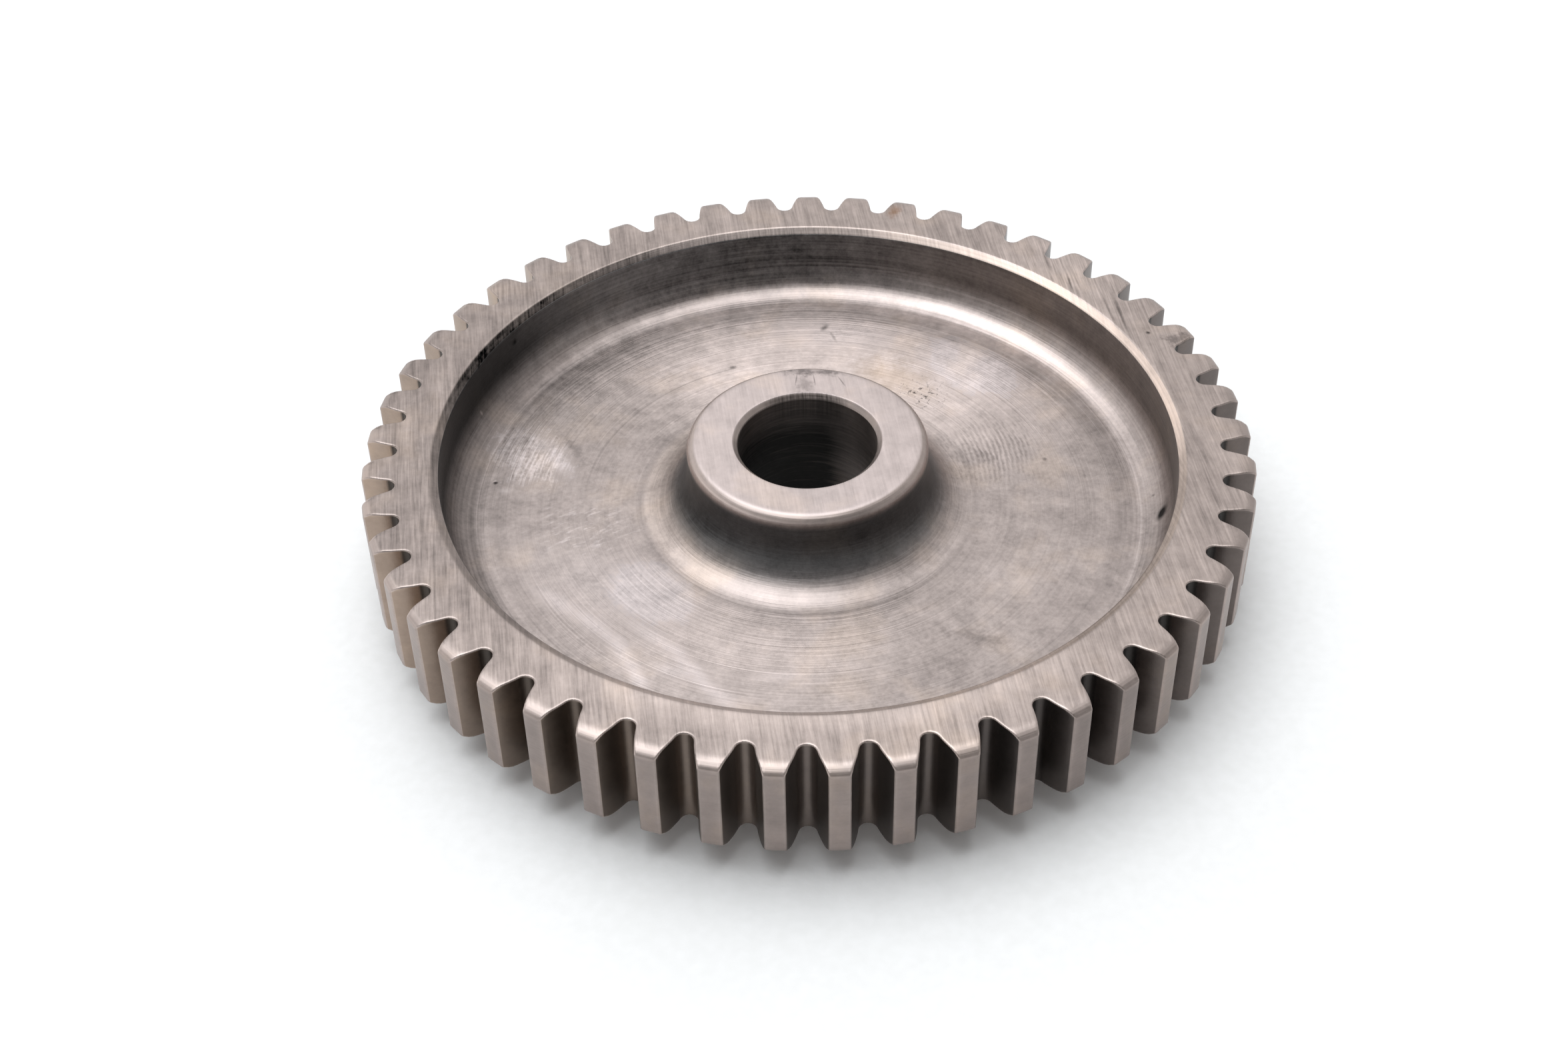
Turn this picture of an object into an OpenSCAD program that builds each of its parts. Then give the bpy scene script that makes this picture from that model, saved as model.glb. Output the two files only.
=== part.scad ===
// Starter gear: a one-piece steel spur gear with a deep dish on its upper side.
// The bore axis is Z, and the gear stands on the end of its hub at Z = 0. A tooth gap faces -Y.

/* [Teeth] */
// Number of teeth
teeth = 49; // [30:1:90]
// Module: pitch diameter per tooth
tooth_module = 1.5; // [1.2:0.05:2.5]
// Pressure angle in degrees
pressure_angle = 20; // [18:0.5:25]
// Height of a tooth above the pitch circle, a stub tooth
addendum = 1.25; // [0.8:0.05:1.6]
// Depth of a tooth gap below the pitch circle
dedendum = 1.6; // [1.2:0.05:2]
// Outward shift of the tooth form as a share of the module, which thickens the teeth
profile_shift = 0.2; // [0:0.02:0.4]
// Width of the round turned on the ends of the tooth tips, along the radius
tip_round_w = 1.1; // [0.6:0.05:1.5]
// Depth of the round turned on the ends of the tooth tips, along the axis
tip_round_h = 0.5; // [0.2:0.05:0.6]

/* [Rim and web] */
// Width of the teeth along the axis
face_w = 9.3; // [8:0.1:20]
// Thickness of the rim below the tooth roots
rim_t = 3.65; // [2:0.05:6]
// Width of the flat chamfer on the rim's inner edge, along the radius
rim_chamfer_w = 0.75; // [0.3:0.05:1.2]
// Depth of the chamfer on the rim's inner edge, along the axis
rim_chamfer_h = 0.45; // [0.2:0.05:1]
// Thickness of the web between hub and rim
web_t = 2.8; // [1.5:0.1:4]
// Radius of the cove from the rim into the web
cove_r = 3; // [1:0.1:4]

/* [Hub] */
// Diameter of the bore
bore_d = 12; // [8:0.1:16]
// Wall of the hub around the bore
hub_wall = 4.4; // [2:0.1:7]
// Chamfer at both mouths of the bore
bore_chamfer = 0.45; // [0.2:0.05:1]
// Radius of the round on the hub's upper edge
hub_edge_r = 0.9; // [0.3:0.05:1.5]
// Radius of the fillet at the hub's foot
hub_foot_r = 4.2; // [1:0.1:5]
// Height of the boss, the end of the hub that stands proud of the underside
boss_h = 2.5; // [1.5:0.1:8]
// Chamfer on the boss's lower edge
boss_chamfer = 0.5; // [0.2:0.05:1]
// Radius of the fillet between the boss and the underside
boss_foot_r = 1; // [0.3:0.1:2]

/* [Hidden] */

$fn = 96;
// Points along one flank of a tooth
flank_points = 7;
// Overshoot of a cut past the face that it opens
overcut = 1;

pitch_r = teeth * tooth_module / 2;
base_r = pitch_r * cos(pressure_angle);
tip_r = pitch_r + addendum;
root_r = pitch_r - dedendum;
wall_r = root_r - rim_t;
bore_r = bore_d / 2;
hub_r = bore_r + hub_wall;
// Heights of the underside, of the web's upper face and of the upper faces of rim and hub
under_z = boss_h;
web_z = under_z + web_t;
top_z = under_z + face_w;
dish_depth = top_z - web_z;
// Each fillet stops short of the edge above or below it
dish_foot_r = min(hub_foot_r, dish_depth - hub_edge_r);
dish_cove_r = min(cove_r, dish_depth - rim_chamfer_h);
under_foot_r = min(boss_foot_r, boss_h - boss_chamfer);

// Involute function, in degrees, of the pressure angle a
function inv(a) = tan(a) * 180 / PI - a;

// Pressure angle of the involute at radius r
function angle_at(r) = acos(base_r / r);

// Half of a tooth gap on the pitch circle, and its angle there, on the base circle and at radius r
gap_half_w = tooth_module * (PI / 4 - profile_shift * tan(pressure_angle));
gap_at_pitch = gap_half_w / pitch_r * 180 / PI;
gap_at_base = gap_at_pitch - inv(pressure_angle);
function gap_at(r) = gap_at_base + inv(angle_at(r));

// Radius of the circle on the gap's centre line, at radius r, that touches both flanks
function touching_r(r) = base_r * gap_at(r) * PI / 180;

// Radius at which that circle also touches the root circle, found by repeated approach
function root_arc_at(r, steps) = steps == 0 ? r : root_arc_at(root_r + touching_r(r), steps - 1);
root_arc_c = root_arc_at(pitch_r, 30);
root_arc_r = root_arc_c - root_r;

// Lengths along the base tangent at the flank's two ends: the root arc and just past the tip
flank_start = sqrt(root_arc_c ^ 2 - base_r ^ 2) - root_arc_r;
flank_end = sqrt((tip_r + overcut) ^ 2 - base_r ^ 2);

// Point of a flank at length t along the base tangent, on side s (1 or -1) of the gap
function flank_point(t, s) =
    let (r = sqrt(base_r ^ 2 + t ^ 2), a = s * gap_at(r))
    [r * cos(a), r * sin(a)];

// Points of a whole flank, from the root arc outwards
function flank(s) = [
    for (i = [0 : flank_points - 1])
        flank_point(flank_start + (flank_end - flank_start) * i / (flank_points - 1), s)
];

// One tooth gap along +X: two involute flanks that run into one round root
module tooth_gap() {
    outer = flank(1);
    inner = flank(-1);
    polygon(concat(outer, [for (i = [len(inner) - 1 : -1 : 0]) inner[i]]));
    translate([root_arc_c, 0]) circle(root_arc_r);
}

// Outline of the toothed disc, with a gap facing -Y
module tooth_outline() {
    difference() {
        circle(tip_r + overcut / 2);
        for (i = [0 : teeth - 1]) rotate(i * 360 / teeth - 90) tooth_gap();
    }
}

// Material left in a square corner by a round tool of radius r
module corner_fill(r) {
    difference() {
        square(r);
        translate([r, r]) circle(r);
    }
}

// Cut that rounds the end of the tooth tips, below a face at Z = 0
module tip_cut() {
    // Radius of the arc that leaves the face level and reaches the tip at that depth
    arc_r = (tip_round_w ^ 2 + tip_round_h ^ 2) / (2 * tip_round_h);
    translate([tip_r - tip_round_w, 0])
        difference() {
            translate([0, -tip_round_h]) square([tip_round_w + overcut, tip_round_h + overcut]);
            translate([0, -arc_r]) circle(arc_r);
        }
}

// Half section of the blank: rounded tips, flat faces, a boss and a chamfered bore
module blank_section() {
    difference() {
        polygon([
            [bore_r + bore_chamfer, 0],
            [hub_r - boss_chamfer, 0],
            [hub_r, boss_chamfer],
            [hub_r, under_z],
            [tip_r, under_z],
            [tip_r, top_z],
            [bore_r + bore_chamfer, top_z],
            [bore_r, top_z - bore_chamfer],
            [bore_r, bore_chamfer]
        ]);
        translate([0, top_z]) tip_cut();
        translate([0, under_z]) mirror([0, 1]) tip_cut();
    }
    translate([hub_r, under_z]) mirror([0, 1]) corner_fill(under_foot_r);
}

// Half section of the dish between hub and rim
module dish_section() {
    difference() {
        translate([hub_r, web_z]) square([wall_r - hub_r, dish_depth + overcut]);
        translate([wall_r, web_z]) mirror([1, 0]) corner_fill(dish_cove_r);
        translate([hub_r, web_z]) corner_fill(dish_foot_r);
    }
    // Chamfer on the rim's inner edge
    polygon([
        [wall_r - overcut, top_z - rim_chamfer_h],
        [wall_r, top_z - rim_chamfer_h],
        [wall_r + rim_chamfer_w * (rim_chamfer_h + overcut) / rim_chamfer_h, top_z + overcut],
        [wall_r - overcut, top_z + overcut]
    ]);
    // Round on the hub's upper edge
    translate([hub_r - hub_edge_r, top_z - hub_edge_r])
        difference() {
            square(hub_edge_r + overcut);
            circle(hub_edge_r);
        }
}

module starter_gear() {
    color([0.63, 0.59, 0.57])
        intersection() {
            rotate_extrude()
                difference() {
                    blank_section();
                    dish_section();
                }
            linear_extrude(top_z) tooth_outline();
        }
}

starter_gear();
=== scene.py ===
import math

import bpy
from mathutils import Matrix, Vector


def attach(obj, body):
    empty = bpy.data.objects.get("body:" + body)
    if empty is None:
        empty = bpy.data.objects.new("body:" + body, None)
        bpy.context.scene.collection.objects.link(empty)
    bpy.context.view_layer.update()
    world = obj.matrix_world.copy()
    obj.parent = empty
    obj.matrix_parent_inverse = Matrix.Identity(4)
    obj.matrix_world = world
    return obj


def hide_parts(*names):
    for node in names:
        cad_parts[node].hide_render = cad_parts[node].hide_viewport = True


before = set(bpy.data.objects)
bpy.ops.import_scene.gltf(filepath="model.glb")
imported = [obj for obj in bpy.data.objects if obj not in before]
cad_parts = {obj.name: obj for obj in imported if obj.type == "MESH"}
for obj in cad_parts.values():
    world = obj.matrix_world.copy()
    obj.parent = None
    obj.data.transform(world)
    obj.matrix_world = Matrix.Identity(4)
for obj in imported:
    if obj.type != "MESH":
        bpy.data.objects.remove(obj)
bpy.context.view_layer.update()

# The starter gear: one piece of steel, turned to a dished blank with a hub and a bore.
# Its 49 involute teeth are cut straight across the rim, and their tips are rounded at both ends.
# Rim and hub are ground flat in one pass, the rest keeps its turning lines, stains and small knocks.
MM = 0.001
TEETH = 49
MODULE = 1.5
PRESSURE_ANGLE = math.radians(20)
PROFILE_SHIFT = 0.2
ADDENDUM = 1.25
DEDENDUM = 1.6
# The tips are worn by a hair, which keeps them inside the cut size
TIP_WEAR = 0.003
PITCH_R = TEETH * MODULE / 2
BASE_R = PITCH_R * math.cos(PRESSURE_ANGLE)
TIP_R = PITCH_R + ADDENDUM - TIP_WEAR
ROOT_R = PITCH_R - DEDENDUM
HALF_PITCH = math.pi / TEETH
TIP_ROUND_W = 1.1
TIP_ROUND_H = 0.5
TIP_ARC_R = (TIP_ROUND_W**2 + TIP_ROUND_H**2) / (2 * TIP_ROUND_H)
FACE_W = 9.3
RIM_T = 3.65
WEB_T = 2.8
UNDER_Z = 2.5
WEB_Z = UNDER_Z + WEB_T
TOP_Z = UNDER_Z + FACE_W
WALL_R = ROOT_R - RIM_T
COVE_R = 3
RIM_CHAMFER_W = 0.75
RIM_CHAMFER_H = 0.45
RIM_EDGE_R = 0.35
HUB_R = 10.4
HUB_FOOT_R = 4.2
HUB_EDGE_R = 0.9
BORE_R = 6
BORE_CHAMFER = 0.45
BOSS_CHAMFER = 0.5
BOSS_FOOT_R = 1
# Broken edges: round the ends of the flanks, at the corners of the tips, and on the turned edges
FLANK_EDGE_R = 0.14
TIP_CORNER_R = 0.28
TURNED_EDGE_R = 0.06
# Where there is room, a line of points beside a rounded edge keeps the face next to it flat
HOLD = 0.2
HOLD_ROOM = 0.5


def involute(r):
    a = math.acos(BASE_R / r)
    return math.tan(a) - a


gap_half_w = MODULE * (math.pi / 4 - PROFILE_SHIFT * math.tan(PRESSURE_ANGLE))
gap_at_base = gap_half_w / PITCH_R - involute(PITCH_R)

# The round root touches both flanks and the root circle: its centre is found by repeated approach
APPROACHES = 30
root_c = PITCH_R
for _ in range(APPROACHES):
    root_c = ROOT_R + BASE_R * (gap_at_base + involute(root_c))
root_arc_r = root_c - ROOT_R


def spoke(angle):
    return Vector((math.cos(angle), math.sin(angle)))


def flank_spot(t):
    """A point of the flank at length t along the base tangent, and the direction into the steel."""
    r = math.hypot(BASE_R, t)
    out = spoke(gap_at_base + involute(r))
    slope = math.acos(BASE_R / r)
    return out * r, Vector((-out.y, out.x)) * math.cos(slope) - out * math.sin(slope)


ROOT_STEPS = 4
FLANK_STEPS = 7
TIP_STEPS = 2
# Share of broken edge at each point round the corner of a tip
CORNER_SHARES = (0.3, 0.8, 1, 0.8, 0.3)


def half_tooth():
    """Outline from the middle of a gap to the middle of a tooth.

    Each spot is a point, the direction inwards, and its shares of broken edge and of cut flank.
    """
    spots = []
    root_turn = math.asin(BASE_R / root_c)
    for i in range(ROOT_STEPS):
        into = -spoke(-root_turn * i / ROOT_STEPS)
        spots.append((Vector((root_c, 0)) + into * root_arc_r, into, 0, 1))
    start = math.sqrt(root_c**2 - BASE_R**2) - root_arc_r
    end = math.sqrt((TIP_R - TIP_CORNER_R) ** 2 - BASE_R**2) + TIP_CORNER_R
    for i in range(FLANK_STEPS):
        spots.append((*flank_spot(start + (end - start) * i / FLANK_STEPS), 0, 1))
    touch, into = flank_spot(end)
    centre = touch + into * TIP_CORNER_R
    first = math.atan2(-into.y, -into.x)
    last = math.atan2(centre.y, centre.x)
    for i, edge in enumerate(CORNER_SHARES):
        out = spoke(first + (last - first) * i / (len(CORNER_SHARES) - 1))
        spots.append((centre + out * TIP_CORNER_R, -out, edge, 1 if i == 0 else 0))
    for i in range(1, TIP_STEPS + 1):
        out = spoke(last + (HALF_PITCH - last) * i / TIP_STEPS)
        spots.append((out * TIP_R, -out, 0, 0))
    return spots


def tip_drop(r):
    """How far the rounded end of a tip lies below the flat face at radius r."""
    over = max(0, r - (TIP_R - TIP_ROUND_W))
    return TIP_ARC_R - math.sqrt(TIP_ARC_R**2 - over**2)


# Rings on the flat end faces: the teeth's rows end at the outer one, the turned section at the inner
OUTER_RING = ROOT_R - 0.75
INNER_RING = ROOT_R - 1.5
# Width of the band beside a tooth's edge, and the points on the way to it from the outer ring
EDGE_BAND = 0.25
FACE_STEPS = (0, 0.45, 0.68, 0.77, 0.86, 0.94, 1)
# Points over the round edge: turn in degrees, share of broken edge, share of cut flank
EDGE_STEPS = ((0, 0.4, 0), (30, 1, 0), (60, 1, 0), (90, 0.4, 1))


def end_rows(spot, into, edge, cut):
    """One column of points from the flat end face over a tooth's edge.

    Each point is a radius, an angle, a depth, and its shares of broken edge and of cut flank.
    """
    ring = spoke(math.atan2(spot.y, spot.x)) * OUTER_RING
    near = spot + into * EDGE_BAND
    steps = [(ring.lerp(near, share), 0, 0, 0) for share in FACE_STEPS]
    for turn, share, down in EDGE_STEPS:
        a = math.radians(turn)
        inset = FLANK_EDGE_R * (1 - math.sin(a))
        steps.append((spot + into * inset, FLANK_EDGE_R * (1 - math.cos(a)), share, cut * down))
    steps.append((spot, FLANK_EDGE_R + HOLD, edge, cut))
    column = []
    for p, drop, *shares in steps:
        column.append((p.length, math.atan2(p.y, p.x), tip_drop(p.length) + drop, *shares))
    return column


def rounded_line(corners):
    """Half section with rounded corners: radius, height and share of broken edge of each point."""
    line = []
    for i, (r, z, radius, steps) in enumerate(corners):
        here = Vector((r, z))
        if radius == 0:
            line.append((r, z, 0))
            continue
        before = Vector(corners[i - 1][:2]) - here
        after = Vector(corners[i + 1][:2]) - here
        back = before.normalized()
        on = after.normalized()
        half = back.angle(on) / 2
        reach = radius / math.tan(half)
        centre = here + (back + on).normalized() * (radius / math.sin(half))
        first = here + back * reach - centre
        turn = first.angle_signed(here + on * reach - centre)
        if before.length > reach + HOLD_ROOM:
            line.append((*(here + back * (reach + HOLD)), 0))
        for k in range(steps + 1):
            arm = Matrix.Rotation(-turn * k / steps, 2) @ first
            line.append((*(centre + arm), 1 if radius == TURNED_EDGE_R and 0 < k < steps else 0))
        if after.length > reach + HOLD_ROOM:
            line.append((*(here + on * (reach + HOLD)), 0))
    return line


# The turned section, from the underside round the boss, bore, hub and dish to the rim: radius, height,
# radius of the corner's round, and steps round it
section = rounded_line(
    [
        (INNER_RING, UNDER_Z, 0, 0),
        (HUB_R, UNDER_Z, BOSS_FOOT_R, 6),
        (HUB_R, BOSS_CHAMFER, TURNED_EDGE_R, 2),
        (HUB_R - BOSS_CHAMFER, 0, TURNED_EDGE_R, 2),
        (BORE_R + BORE_CHAMFER, 0, TURNED_EDGE_R, 2),
        (BORE_R, BORE_CHAMFER, TURNED_EDGE_R, 2),
        (BORE_R, TOP_Z - BORE_CHAMFER, TURNED_EDGE_R, 2),
        (BORE_R + BORE_CHAMFER, TOP_Z, TURNED_EDGE_R, 2),
        (HUB_R, TOP_Z, HUB_EDGE_R, 8),
        (HUB_R, WEB_Z, HUB_FOOT_R, 16),
        (WALL_R, WEB_Z, COVE_R, 14),
        (WALL_R, TOP_Z - RIM_CHAMFER_H, TURNED_EDGE_R, 2),
        (WALL_R + RIM_CHAMFER_W, TOP_Z, RIM_EDGE_R, 4),
        (INNER_RING, TOP_Z, 0, 0),
    ]
)

# One sector of the gear, a tooth between the middles of two gaps, as rows of points round its section
SPOKES = 10
verts = []
edge_shares = []
cut_shares = []
faces = []


def add_row(row):
    numbers = []
    for r, angle, z, edge, cut in row:
        place = spoke(angle - math.pi / 2) * r
        numbers.append(len(verts))
        verts.append((place.x * MM, place.y * MM, z * MM))
        edge_shares.append(edge)
        cut_shares.append(cut)
    return numbers


def whole_tooth(half_row):
    return half_row + [(r, 2 * HALF_PITCH - a, *rest) for r, a, *rest in half_row[-2::-1]]


columns = [end_rows(*spot) for spot in half_tooth()]
levels = list(zip(*columns))
rows = [add_row(whole_tooth([(r, a, TOP_Z - d, *s) for r, a, d, *s in level])) for level in levels]
for level in reversed(levels):
    rows.append(add_row(whole_tooth([(r, a, UNDER_Z + d, *s) for r, a, d, *s in level])))
for r, z, edge in section:
    rows.append(add_row([(r, 2 * HALF_PITCH * i / SPOKES, z, edge, 0) for i in range(SPOKES + 1)]))
rows.append(rows[0])


def angle_of(number):
    return math.atan2(verts[number][0], -verts[number][1])


for upper, lower in zip(rows, rows[1:]):
    if len(upper) == len(lower):
        for j in range(len(upper) - 1):
            faces.append((upper[j], lower[j], lower[j + 1], upper[j + 1]))
        continue
    # Rows with more and fewer points meet on a flat face, in triangles
    i = j = 0
    while i + 1 < len(upper) or j + 1 < len(lower):
        if j + 1 == len(lower) or (
            i + 1 < len(upper) and angle_of(upper[i + 1]) < angle_of(lower[j + 1])
        ):
            faces.append((upper[i], lower[j], upper[i + 1]))
            i += 1
        else:
            faces.append((upper[i], lower[j], lower[j + 1]))
            j += 1

sector_mesh = bpy.data.meshes.new("gear_sector")
sector_mesh.from_pydata(verts, [], faces)
for name, shares in (("broken_edge", edge_shares), ("cut_flank", cut_shares)):
    sector_mesh.attributes.new(name, "FLOAT", "POINT").data.foreach_set("value", shares)
sector = bpy.data.objects.new("gear_sector", sector_mesh)
bpy.context.scene.collection.objects.link(sector)

steel = bpy.data.materials.new("gear_steel")
steel.use_nodes = True

# Sectors side by side round the bore axis, welded into one closed gear
WELD_DISTANCE = 0.002
teeth_tree = bpy.data.node_groups.new("teeth_round_the_rim", "GeometryNodeTree")
teeth_tree.is_modifier = True
tree_sockets = {}
for name, kind, side in (
    ("Sector", "NodeSocketGeometry", "INPUT"),
    ("Teeth", "NodeSocketInt", "INPUT"),
    ("Weld distance", "NodeSocketFloat", "INPUT"),
    ("Finish", "NodeSocketMaterial", "INPUT"),
    ("Gear", "NodeSocketGeometry", "OUTPUT"),
):
    tree_sockets[name] = teeth_tree.interface.new_socket(name, in_out=side, socket_type=kind)


def tree_step(kind, settings, values):
    """Adds a node to the tree and gives its first output."""
    node = teeth_tree.nodes.new(kind)
    for name, value in settings.items():
        setattr(node, name, value)
    for key, value in values.items():
        if isinstance(value, bpy.types.NodeSocket):
            teeth_tree.links.new(value, node.inputs[key])
        else:
            node.inputs[key].default_value = value
    return node.outputs[0] if node.outputs else None


given = teeth_tree.nodes.new("NodeGroupInput").outputs
number = tree_step("GeometryNodeInputIndex", {}, {})
share = tree_step("ShaderNodeMath", {"operation": "DIVIDE"}, {0: number, 1: given["Teeth"]})
angle = tree_step("ShaderNodeMath", {"operation": "MULTIPLY"}, {0: share, 1: math.tau})
turn = tree_step("FunctionNodeAxisAngleToRotation", {}, {"Axis": (0, 0, 1), "Angle": angle})
points = tree_step("GeometryNodePoints", {}, {"Count": given["Teeth"]})
around = tree_step(
    "GeometryNodeInstanceOnPoints",
    {},
    {"Points": points, "Instance": given["Sector"], "Rotation": turn},
)
real = tree_step("GeometryNodeRealizeInstances", {}, {"Geometry": around})
welded = tree_step(
    "GeometryNodeMergeByDistance", {}, {"Geometry": real, "Distance": given["Weld distance"]}
)
smooth = tree_step("GeometryNodeSetShadeSmooth", {}, {"Geometry": welded})
dressed = tree_step("GeometryNodeSetMaterial", {}, {"Geometry": smooth, "Material": given["Finish"]})
tree_step("NodeGroupOutput", {}, {"Gear": dressed})

modifier = sector.modifiers.new("teeth_round_the_rim", "NODES")
modifier.node_group = teeth_tree
modifier[tree_sockets["Teeth"].identifier] = TEETH
modifier[tree_sockets["Weld distance"].identifier] = WELD_DISTANCE * MM
modifier[tree_sockets["Finish"].identifier] = steel
evaluated = sector.evaluated_get(bpy.context.evaluated_depsgraph_get())
gear = bpy.data.objects.new("gear", bpy.data.meshes.new_from_object(evaluated))
sector.modifiers.remove(modifier)
bpy.data.objects.remove(sector)
bpy.context.scene.collection.objects.link(gear)


class Tone:
    """A value in a material's node tree. Sums and products of tones add the nodes for them."""

    def __init__(self, tree, socket=None):
        self.tree = tree
        self.socket = socket

    def node(self, kind, settings=None, values=None, output=0):
        """Any node: its settings first, then what its sockets take, by number or identifier."""
        made = self.tree.nodes.new(kind)
        for name, value in (settings or {}).items():
            setattr(made, name, value)
        for key, value in (values or {}).items():
            socket = next(s for i, s in enumerate(made.inputs) if key in (i, s.identifier))
            if isinstance(value, Tone):
                self.tree.links.new(value.socket, socket)
            else:
                socket.default_value = value
        return Tone(self.tree, made.outputs[output])

    def maths(self, operation, *others):
        return self.node("ShaderNodeMath", {"operation": operation}, dict(enumerate((self, *others))))

    def __add__(self, other):
        return self.maths("ADD", other)

    def __sub__(self, other):
        return self.maths("SUBTRACT", other)

    def __rsub__(self, other):
        return self * -1 + other

    def __mul__(self, other):
        return self.maths("MULTIPLY", other)

    def __truediv__(self, other):
        return self.maths("DIVIDE", other)

    def __rtruediv__(self, other):
        return self.maths("POWER", -1) * other

    __radd__ = __add__
    __rmul__ = __mul__

    def rise(self, low, high):
        """0 up to low, 1 from high on, smooth between. With low above high it falls."""
        return self.node(
            "ShaderNodeMapRange",
            {"interpolation_type": "SMOOTHSTEP"},
            {"Value": self, "From Min": low, "From Max": high},
        )

    def near(self, value, reach):
        """1 at a value, and 0 from reach away from it."""
        return (self - value).maths("ABSOLUTE").rise(reach, 0)

    def over(self, colour, other):
        """This tone's share of a colour laid over another."""
        return self.node(
            "ShaderNodeMix",
            {"data_type": "RGBA"},
            {"Factor_Float": self, "A_Color": other, "B_Color": colour},
            2,
        )


# The steel's finish, with light and shade painted on it by place. Place is in millimetres, and the
# shares say how far right or back it lies
ink = Tone(steel.node_tree)
place = ink.node("ShaderNodeTexCoord", output=3)
place = ink.node("ShaderNodeVectorMath", {"operation": "SCALE"}, {"Vector": place, "Scale": 1 / MM})
x, y, z = (ink.node("ShaderNodeSeparateXYZ", {}, {"Vector": place}, i) for i in range(3))
r = (x * x + y * y).maths("SQRT")
right_share = x / r
back_share = y / r
broken_edge = ink.node("ShaderNodeAttribute", {"attribute_name": "broken_edge"}, output=2)
flank = ink.node("ShaderNodeAttribute", {"attribute_name": "cut_flank"}, output=2)


def grain(vector, scale, detail, roughness):
    """Noise about 0, over a vector in millimetres."""
    noise = ink.node(
        "ShaderNodeTexNoise",
        {},
        {"Vector": vector, "Scale": scale, "Detail": detail, "Roughness": roughness},
    )
    return noise - 0.5


def ring_grain(across, around, detail=2):
    """Noise in lines round the axis: fine across them in 1/mm, slow along them."""
    vector = ink.node(
        "ShaderNodeCombineXYZ", {}, {"X": r * across, "Y": z * across, "Z": right_share * around}
    )
    noise = ink.node(
        "ShaderNodeTexNoise",
        {"noise_dimensions": "4D"},
        {"Vector": vector, "W": back_share * around, "Scale": 1, "Detail": detail},
    )
    return noise - 0.5


def line_grain(lean, across, along, detail=3):
    """Noise in straight lines that lean by so many degrees from front to back, seen from above."""
    a = math.radians(lean)
    vector = ink.node(
        "ShaderNodeCombineXYZ",
        {},
        {
            "X": (x * math.cos(a) + y * math.sin(a)) * across,
            "Y": (y * math.cos(a) - x * math.sin(a)) * along,
        },
    )
    return grain(vector, 1, detail, 0.6)


cloud = grain(place, 0.16, 3, 0.6)
blotch = grain(place, 0.6, 3, 0.6)
speck = grain(place, 2.5, 3, 0.7)
ragged = blotch + speck * 0.6

# A mark's ball of shade is larger than the mark, so that a ragged border stays inside it
BALL = 3


def mark(row):
    """A soft oval mark, 1 in its middle.

    A row gives its place, its half sizes, its turn about the axis in degrees, and its raggedness.
    """
    spot, half_sizes, turn, raggedness = row[0:3], row[3:6], row[6], row[7]
    inside = ink.node(
        "ShaderNodeMapping",
        {"vector_type": "TEXTURE"},
        {
            "Vector": place,
            "Location": spot,
            "Rotation": (0, 0, math.radians(turn)),
            "Scale": [size * BALL for size in half_sizes],
        },
    )
    ball = ink.node("ShaderNodeTexGradient", {"gradient_type": "SPHERICAL"}, {"Vector": inside}, 1)
    if raggedness:
        ball = ball - ragged * (raggedness / BALL)
    return ball.rise(1 - 1 / BALL, 1)


def marks(*rows):
    """Marks laid together, each with its strength at the end of its row."""
    return sum(mark(row) * row[8] for row in rows)


# Where each finish lies
ground = z.rise(TOP_Z - 0.1, TOP_Z - 0.02)
upper_part = z.rise(TOP_Z - 2.8, TOP_Z - 1.8)
turned = 1 - ground - flank
hub_face = ground * r.rise(HUB_R + 2, HUB_R + 1)
hub_edge = r.rise(HUB_R - 1, HUB_R - 0.5) * r.rise(HUB_R + 0.4, HUB_R + 0.1) * z.near(TOP_Z - 0.55, 0.6)
bore = r.rise(BORE_R + 0.1, BORE_R + 0.04)
above_under = z.rise(UNDER_Z + 0.5, UNDER_Z + 1.5)
inside_dish = r.rise(HUB_R - 0.3, HUB_R) * r.rise(WALL_R + 0.06, WALL_R + 0.01) * above_under
web = inside_dish * z.rise(WEB_Z + 1.2, WEB_Z + 0.2)
hub_side = inside_dish * r.rise(HUB_R + 2.2, HUB_R + 0.2) * z.rise(TOP_Z - 0.6, TOP_Z - 1.4)
foot = inside_dish * r.rise(HUB_R + 4.5, HUB_R + 3.5) - hub_side
cove = inside_dish * r.rise(WALL_R - 3.5, WALL_R - 2)
wall = cove * z.rise(WEB_Z + 0.6, WEB_Z + 3.2)
chamfer = r.rise(WALL_R, WALL_R + 0.05) * r.rise(WALL_R + 1.5, WALL_R + 1) * upper_part * (1 - ground)
rim_face = ground - hub_face
gap_root = flank * r.rise(ROOT_R + 0.8, ROOT_R + 0.45)
tip = r.rise(TIP_R - 0.16, TIP_R - 0.06) * (1 - flank)
round_end = r.rise(TIP_R - 0.9, TIP_R - 0.5) * (1 - ground) * (1 - flank) - tip
left_side = right_share.rise(-0.3, -0.95)
right_side = right_share.rise(-0.2, 0.7)
front = back_share.rise(-0.7, -0.97)
front_left = back_share.rise(-0.4, -0.95) * right_share.rise(0.2, -0.2)
back_right = right_share.rise(0, 0.8) * back_share.rise(-0.2, 0.12)

# Grinding lines run one way over rim and hub, turning lines run round the axis
grind = line_grain(8, 5, 0.22, 4)
grind_broad = line_grain(9, 0.9, 0.05, 2)
rings = ring_grain(5, 1.5, 3)
rings_broad = ring_grain(1.1, 0.8)
chatter = mark((16.4, 5.8, WEB_Z, 6.0, 6.0, 1, -25, 1.0))
waves = (r * 15 + blotch * 6 - y * 3).maths("SINE") * chatter
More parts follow.
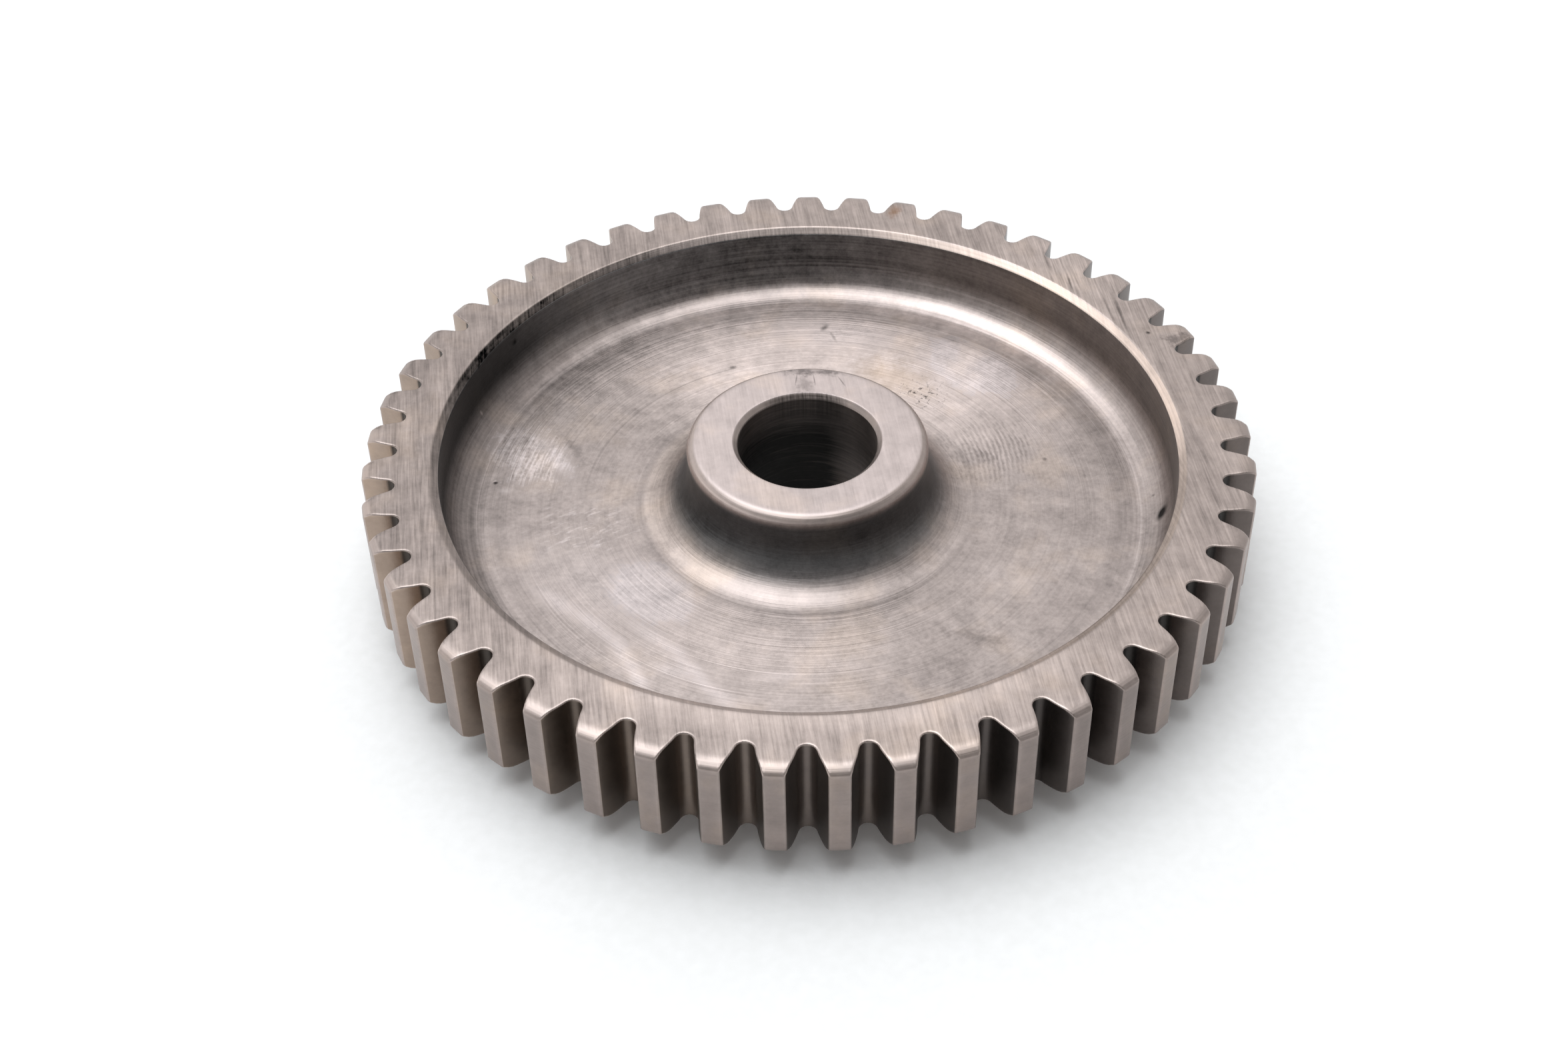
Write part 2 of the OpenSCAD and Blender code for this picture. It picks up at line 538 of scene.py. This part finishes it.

# Light and dark of the steel as a share of its plain colour, first its grain and lines, then painted
# light and shade by place
STEEL = (0.365, 0.307, 0.284)
shade = 1 + cloud * 0.55 + blotch * 0.4 + speck * 0.25 + inside_dish * (speck * 0.4 + blotch * 0.3)
shade = shade + (ground - hub_face * 0.5) * (grind + grind_broad * 0.7)
shade = shade + turned * (rings * (0.35 - front * 0.15) + rings_broad * 0.05)
shade = shade + waves * 0.16 + broken_edge * 0.15
# Hub and rim: a painted highlight on the hub's round edge, brightest on the left, and a painted glint
# on the rim's back right
rim_painted_glint = mark((24, 24, TOP_Z, 14, 10, 3, -45, 0))
shade = shade + hub_edge * (0.4 + right_share.rise(0.3, -0.6) * 0.6 - front * 0.25)
shade = shade + hub_face * (0.38 - front * 0.1) + ground * rim_painted_glint * (0.17 + grind * 0.8)
# Painted light and shade on the rim: lighter towards its inner edge at the front, darker on the left
shade = shade + rim_face * front * (r.rise(ROOT_R, WALL_R + 1) * 0.3 - 0.06)
shade = shade - rim_face * left_side * 0.17
# Painted highlight on the chamfer at the back right and at the front, painted shade on it at the back
# and on the left
shade = shade + chamfer * (back_right * 1.18 - back_share.rise(-0.3, 0.5) * 0.58)
shade = shade + chamfer * (front * 0.5 - left_side * 0.31 + grind * 0.8)
# Web, hub foot and cove: a painted sheen on the web, brightest at the back
shade = shade + web * back_share.rise(0.1, 0.9) * (0.85 - left_side * 0.9 - right_side * 0.15)
shade = shade + web * back_share.rise(0.3, 0.9) * blotch * 0.5
shade = shade + web * front * (0.3 - right_side * 0.3 - r.rise(HUB_R + 9.6, HUB_R + 13.6) * 0.2)
# Painted highlights on the foot's left and on the lower cove at the back right, painted shade in the
# rest of the cove
shade = shade + foot * (left_side * 0.2 - front * 0.1) + (cove - wall) * back_right * 0.25
shade = shade - cove * (1 - right_side) * right_share.rise(-0.95, 0) * 0.6
shade = shade - cove * (r.rise(WALL_R - 1.5, WALL_R - 2.5) * 0.12 - rings * 0.5)
# Painted shade on the walls, the cove's left, the hub's side, the flanks and the tips
wall_painted_shade = right_side * 0.59 + right_share.rise(-0.5, -0.98) * 0.85 - 0.1
shade = shade * (1 - cove * right_share.rise(-0.7, -0.95) * 0.35)
shade = shade * (1 - wall * wall_painted_shade) * (1 - hub_side * 0.58)
shade = shade * (1 - flank * (right_side * 0.62 + left_side * 0.1))
shade = shade * (1 - tip * (right_side * 0.08 + back_share.rise(-0.45, -0.8) * 0.22))
# A painted highlight on the round at the ends of the front teeth on the left
shade = shade + round_end * right_share.rise(0.2, -0.4) * back_share.rise(0.2, -0.3) * 0.3

# Light scuffs, most of them on the web: place, half sizes, turn, raggedness, strength
pale = marks(
    (-22.4, 4.9, WEB_Z, 3.8, 1.4, 1, -54, 1.2, 0.35),
    (-26.7, 1.0, WEB_Z, 0.9, 0.7, 1, 0, 1.0, 0.3),
    (13.2, 16.2, WEB_Z, 9.0, 5.2, 1, -62, 0.8, 0.06),
    (3.0, 23.8, WEB_Z, 8.5, 3.4, 1, -6, 1.6, 0.25),
    (-17.0, -11.0, WEB_Z, 11.0, 6.5, 1, -25, 0.8, 0.26),
    (-20.6, -13.4, WEB_Z, 4.2, 1.2, 1, -40, 1.0, 0.28),
    (-17.4, -16.1, WEB_Z, 4.4, 1.2, 1, -43, 1.0, 0.33),
    (-14.8, -19.6, WEB_Z, 4.6, 1.2, 1, -62, 1.0, 0.37),
    (-13.5, -22.4, WEB_Z, 2.4, 1.0, 1, -66, 1.0, 0.3),
    (-12.5, -17.5, WEB_Z, 4.6, 1.2, 1, -41, 1.2, 0.28),
    (-9.6, -20.7, WEB_Z, 4.2, 1.2, 1, -53, 1.2, 0.32),
    (-7.3, -23.6, WEB_Z, 4.0, 1.2, 1, -49, 1.2, 0.3),
    (-11.1, -21.2, WEB_Z, 3.0, 1.0, 1, -28, 1.0, 0.3),
    (-2.3, -21.9, WEB_Z, 3.4, 0.8, 1, 0, 0.8, 0.22),
    (16.5, -10.7, WEB_Z, 6.0, 2.6, 1, -20, 0.8, 0.12),
    (-29.6, 9.8, 7.05, 0.25, 0.25, 0.4, 0, 0, 1.2),
)
# A scuff with fine lines, a patch of straight strokes, two wiped patches, and a pale line in the cove
PALE_LINE_R = 28.9
scuff = mark((-25.0, 6.0, WEB_Z, 6.8, 5.0, 1, -54, 1.2)).rise(0.2, 0.5)
scuff = scuff * (0.15 + ring_grain(4.5, 9).rise(-0.1, 0.12) * 0.4 + speck * 0.8)
strokes = line_grain(-62, 2.2, 0.6).rise(0, 0.25) * mark((-19.2, -3.8, WEB_Z, 6.4, 5.6, 1, 0, 1.2))
wiped = mark((15.4, 18.2, WEB_Z, 7.4, 4.6, 1, -50, 0.7)).rise(0.15, 0.35) * 0.2
wiped = wiped + mark((-13.0, -12.2, WEB_Z, 6.6, 4.6, 1, -45, 0.6)).rise(0.15, 0.4) * 0.17
pale = pale + scuff + strokes * 0.8 + wiped + r.near(PALE_LINE_R, 0.5) * cove * (0.06 + rings)

# Pits and knocks that are sunk into the steel, in rows like the scuffs'
pits = marks(
    (-27.7, 2.1, WEB_Z, 0.3, 0.3, 1, 0, 0, 0.8),
    (21.1, 4.9, WEB_Z, 0.3, 0.4, 1, 0, 0, 0.5),
    (30.4, -3.4, 6.2, 1.3, 0.6, 1.0, 60, 0, 1.3),
    (30.0, -0.6, 6.2, 0.25, 0.25, 1, 0, 0, 0.7),
    (30.8, 14.8, TOP_Z, 0.32, 0.36, 0.5, 0, 0, 0.9),
    (-29.5, 12.6, TOP_Z - 0.3, 0.3, 0.45, 0.5, 0, 0, 0.9),
    (-29.5, 11.0, TOP_Z - 0.3, 0.3, 0.4, 0.5, 0, 0, 0.9),
    (-27.0, 16.3, 10.1, 0.45, 0.45, 0.5, 0, 0, 0.9),
    (-36.9, 5.4, TOP_Z - 0.8, 0.6, 0.5, 0.7, 0, 0.4, 0.95),
    (-37.5, 0.8, TOP_Z - 0.8, 0.6, 0.4, 0.7, 40, 0.4, 0.6),
)
# Dark stains and scratches on web, rim and hub
dark = pits + marks(
    (13.6, -17.6, WEB_Z, 3.4, 1.2, 1, -18, 0.6, 0.4),
    (1.55, 24.6, WEB_Z, 0.8, 0.5, 1, 60, 0.5, 0.55),
    (2.4, 23.1, WEB_Z, 1.4, 0.25, 1, -70, 0.4, 0.35),
    (-7.1, 18.5, WEB_Z, 0.6, 0.4, 1, 20, 0.4, 0.6),
    (14.6, 5.0, WEB_Z, 3.4, 3.8, 1, 0, 1.0, 0.2),
    (-21.2, 6.8, WEB_Z, 3.6, 0.7, 1, -58, 1.6, 0.25),
    (24.4, 22.7, TOP_Z, 2.0, 0.22, 0.5, -84, 0.4, 0.6),
    (28.6, 17.8, TOP_Z, 4.0, 0.22, 0.5, -83, 0.4, 0.6),
    (27.6, 18.4, TOP_Z, 3.2, 0.2, 0.5, -81, 0.4, 0.5),
    (22.6, 25.8, TOP_Z, 2.8, 0.22, 0.5, -80, 0.4, 0.45),
    (33.2, 13.9, TOP_Z, 1.8, 1.4, 0.5, 20, 2.4, 0.5),
    (-0.2, 7.6, TOP_Z, 1.0, 1.5, 0.6, 0, 1.6, 0.3),
    (0.8, 9.3, TOP_Z, 4.2, 0.6, 0.6, -4, 2.2, 0.55),
    (-1.0, 8.3, TOP_Z, 1.2, 0.1, 0.5, 85, 0.3, 0.5),
    (0.6, 8.2, TOP_Z, 1.1, 0.1, 0.5, -83, 0.3, 0.5),
    (3.0, 8.0, TOP_Z, 1.2, 0.1, 0.5, -65, 0.3, 0.5),
    (-12.6, -7.4, WEB_Z + 0.4, 3.0, 1.4, 1.5, -50, 1.4, 0.15),
)
# A speckled patch behind the hub, a dark bore mouth at the back, and turned lines in the web
FOOT_LINE_R = 14.7
FINE_LINE_R = 19.6
COVE_LINE_R = 27.2
dark = dark + mark((10.4, 14.2, WEB_Z, 4.2, 4.6, 1, 0, 0.5)) * speck.rise(0.06, 0.14) * 0.8
bore_mouth = r.near(BORE_R + 0.2, 0.5) * upper_part
dark = dark + bore_mouth * back_share.rise(0.75, 0.95) * (0.55 + grind * 1.5)
dark = dark + r.near(FOOT_LINE_R, 0.5) * web * (0.12 + blotch * 0.6)
dark = dark + r.near(COVE_LINE_R, 1.4) * web * 0.14
fine_line = r.near(FINE_LINE_R, 0.18) * web
dark = dark + fine_line * right_share.rise(-0.2, -0.5) * back_share.rise(-0.1, 0.2) * 0.22
shade = shade * (1 + pale) * (1 - dark.maths("MINIMUM", 0.95))
colour = ink.node("ShaderNodeVectorMath", {"operation": "SCALE"}, {"Vector": STEEL, "Scale": shade})


def tinted(tint):
    return ink.node("ShaderNodeVectorMath", {"operation": "MULTIPLY"}, {0: colour, 1: tint})


# A painted cool tint of the light in the dish, a cool tint on the painted shade of walls and hub side,
# tan stains by the hub
colour = inside_dish.over(tinted((0.98, 1.0, 1.02)), colour)
colour = wall.maths("MAXIMUM", hub_side).over(tinted((0.86, 1.0, 1.07)), colour)
colour = (wall * right_side).over(tinted((1.12, 0.99, 0.91)), colour)
colour = hub_face.over(tinted((0.98, 1.0, 1.04)), colour)
colour = ((pale + wiped * 2) * web).over(tinted((0.96, 1.0, 1.06)), colour)
tan = mark((8.2, 16.4, WEB_Z, 6.0, 3.6, 1, -35, 1.2)) * 0.8 + cloud.rise(0, 0.2) * 0.4
# Tan on the painted highlights of the foot at the left and of the chamfer at the right
tan = tan + foot * left_side * 0.3 + chamfer * right_side * 0.5
colour = tan.over(tinted((1.04, 0.98, 0.88)), colour)
# A brown cast on the left flanks
colour = (flank * right_share.rise(0.3, -0.5)).over(tinted((1.08, 1.0, 0.88)), colour)

# Painted shade in the tooth gaps, most at the front, and down the bore, darker deeper in; a trace of
# rust at the back
PAINTED_SHADE_DARK = (0.025, 0.024, 0.023, 1)
RUST_BROWN = (0.25, 0.13, 0.06, 1)
gap_painted_shade = gap_root * (0.88 - front * 0.33)
gap_painted_shade = gap_painted_shade + (flank - gap_root) * front.maths("MAXIMUM", front_left) * 0.72
bore_painted_shade = z.rise(TOP_Z - 0.5, TOP_Z - 5) * 0.45 + 0.57
bore_painted_shade = bore * (bore_painted_shade - right_share.rise(0.2, 0.9) * 0.7 - rings * 0.5)
gap_and_bore_shade = gap_painted_shade.maths("MAXIMUM", bore_painted_shade)
rust = mark((8.4, 34.6, TOP_Z, 1.6, 1.0, 1.2, 75, 0.9))
colour = gap_and_bore_shade.over(PAINTED_SHADE_DARK, colour)
colour = (rust * 0.6).over(RUST_BROWN, colour)

rough = 0.35 + ground * grind * 0.2 + turned * (rings * 0.15 + 0.08) + speck * 0.12 + blotch * 0.1
rough = rough + hub_face * 0.08 + gap_and_bore_shade * 0.1 + rust * 0.3 - broken_edge * 0.06 - pale * 0.1
# Height in millimetres
height = ground * grind * 0.01 + turned * rings * 0.025 + waves * 0.012
height = height + flank * speck * 0.006 - pits * 0.05
bump = ink.node("ShaderNodeBump", {}, {"Strength": 1.0, "Distance": MM, "Height": height})

shader = steel.node_tree.nodes["Principled BSDF"]
shader.inputs["Metallic"].default_value = 1
for name, tone in (("Base Color", colour), ("Roughness", rough), ("Normal", bump)):
    steel.node_tree.links.new(tone.socket, shader.inputs[name])

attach(gear, "root")
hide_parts("starter_gear")

# The floor: a broad sheet of white board with a faint paper grain.
# The gear stands on it with the end of its hub.
FLOOR_REACH = 5
BOARD_WHITE = (0.93, 0.93, 0.93, 1)
BOARD_GREY = (0.88, 0.88, 0.875, 1)
floor_corners = [(-1, -1), (1, -1), (1, 1), (-1, 1)]
floor_verts = [(a * FLOOR_REACH, b * FLOOR_REACH, 0) for a, b in floor_corners]
floor_mesh = bpy.data.meshes.new("floor")
floor_mesh.from_pydata(floor_verts, [], [(0, 1, 2, 3)])
floor = bpy.data.objects.new("floor", floor_mesh)
bpy.context.scene.collection.objects.link(floor)
board = bpy.data.materials.new("white_board")
board.use_nodes = True
floor_mesh.materials.append(board)
pulp = Tone(board.node_tree)
board_place = pulp.node("ShaderNodeTexCoord", output=3)
fibre = pulp.node("ShaderNodeTexNoise", {}, {"Vector": board_place, "Scale": 900.0, "Detail": 4.0})
mottle = pulp.node("ShaderNodeTexNoise", {}, {"Vector": board_place, "Scale": 25.0, "Detail": 3.0})
paper = (fibre * 0.5 + mottle * 0.5).rise(0.3, 0.7).over(BOARD_WHITE, BOARD_GREY)
paper_bump = pulp.node("ShaderNodeBump", {}, {"Strength": 0.3, "Distance": 0.1 * MM, "Height": fibre})
board_shader = board.node_tree.nodes["Principled BSDF"]
board_shader.inputs["Roughness"].default_value = 0.9
board.node_tree.links.new(paper.socket, board_shader.inputs["Base Color"])
board.node_tree.links.new(paper_bump.socket, board_shader.inputs["Normal"])

# The light: a soft round lamp above the gear, a little to the left.
# The room is pale, brightest overhead and behind the gear, and dim in front of it.
BRIGHTEST_WAY = (0.05, 0.45, 0.89)
ROOM_DIMMEST = 0.12
lamp_data = bpy.data.lights.new("lamp_above", "AREA")
lamp_data.shape = "DISK"
lamp_data.size = 0.65
lamp_data.energy = 2.7
lamp_data.color = (0.93, 0.97, 1.0)
lamp = bpy.data.objects.new("lamp_above", lamp_data)
lamp.location = (-0.17, 0.07, 0.6)
bpy.context.scene.collection.objects.link(lamp)
world = bpy.data.worlds.new("pale_room")
world.use_nodes = True
bpy.context.scene.world = world
room = Tone(world.node_tree)
toward = room.node("ShaderNodeTexCoord", output=0)
facing = room.node(
    "ShaderNodeVectorMath", {"operation": "DOT_PRODUCT"}, {0: toward, 1: BRIGHTEST_WAY}, 1
)
rightward, upward = (room.node("ShaderNodeSeparateXYZ", {}, {"Vector": toward}, i) for i in (0, 2))
ceiling = facing.maths("MAXIMUM", 0).maths("POWER", 2.5) * 1.2
walls = upward.near(0.15, 0.5) * (0.6 + rightward.rise(0, -0.8) * 0.5)
glow = room.node(
    "ShaderNodeVectorMath",
    {"operation": "SCALE"},
    {"Vector": (1, 1, 1), "Scale": ceiling + walls + ROOM_DIMMEST},
)
background = world.node_tree.nodes["Background"]
background.inputs["Strength"].default_value = 1
world.node_tree.links.new(glow.socket, background.inputs["Color"])
bpy.context.scene.view_settings.view_transform = "Standard"

# The camera stands in front of the gear and looks down at about 42 degrees, as in the photograph.
# Its place is in millimetres.
CAMERA_PLACE = Vector((1.21, -142.98, 130.30))
camera_data = bpy.data.cameras.new("camera")
camera_data.sensor_width = 36
camera_data.lens = 49.76
camera_data.clip_start = 0.01
camera_data.clip_end = 10
camera = bpy.data.objects.new("camera", camera_data)
sideways = Vector((0.99983, 0.00922, -0.01602)).normalized()
ahead = Vector((-0.01755, 0.7448, -0.6671)).normalized()
upwards = sideways.cross(ahead).normalized()
camera_turn = Matrix((sideways, upwards, -ahead)).transposed().to_4x4()
camera.matrix_world = Matrix.Translation(CAMERA_PLACE * MM) @ camera_turn
bpy.context.scene.collection.objects.link(camera)
bpy.context.scene.camera = camera
